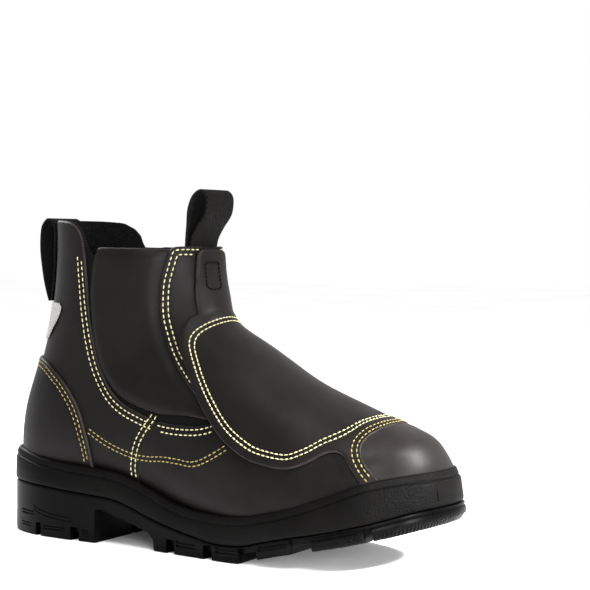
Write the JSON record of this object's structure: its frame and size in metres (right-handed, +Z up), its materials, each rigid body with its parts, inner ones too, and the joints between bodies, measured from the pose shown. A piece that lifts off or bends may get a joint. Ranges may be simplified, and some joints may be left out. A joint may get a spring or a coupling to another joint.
{
  "type": "safety boot",
  "caption": "Right pull-on safety boot with elastic gores under leather flaps, a padded instep guard with a strap to the collar, webbing pull loops and a lugged rubber sole with heel.",
  "frame": {"origin": "on the floor under the middle of the boot's box", "axes": "+X from heel to toe, +Y to the inner side of the foot, +Z up from the floor"},
  "size_m": [0.312, 0.112, 0.2182],
  "materials": {
    "outsole_rubber": "black moulded rubber, half gloss on its bumper",
    "midsole_rubber": "black moulded rubber, fine stipple",
    "lining_felt": "black felt, matt",
    "upper_leather": "dark brown-black oiled leather with a soft sheen",
    "guard_leather": "dark brown-black oiled leather over padding",
    "elastic": "black ribbed elastic",
    "webbing": "black woven webbing",
    "tab_cloth": "white woven tab",
    "thread": "pale yellow waxed thread"
  },
  "bodies": {
    "root": {"outsole": "outsole_rubber", "midsole": "midsole_rubber", "insole": "lining_felt", "upper": "upper_leather", "quarter": "upper_leather", "heel_counter": "upper_leather", "flap_lateral": "upper_leather", "flap_medial": "upper_leather", "front_panel": "upper_leather", "toe_cap": "upper_leather", "vamp": "upper_leather", "metguard": "guard_leather", "gore_lateral": "elastic", "gore_medial": "elastic", "backstay": "upper_leather", "pull_loop_front": "webbing", "pull_loop_back": "webbing", "heel_tab": "tab_cloth"}
  },
  "joints": []
}
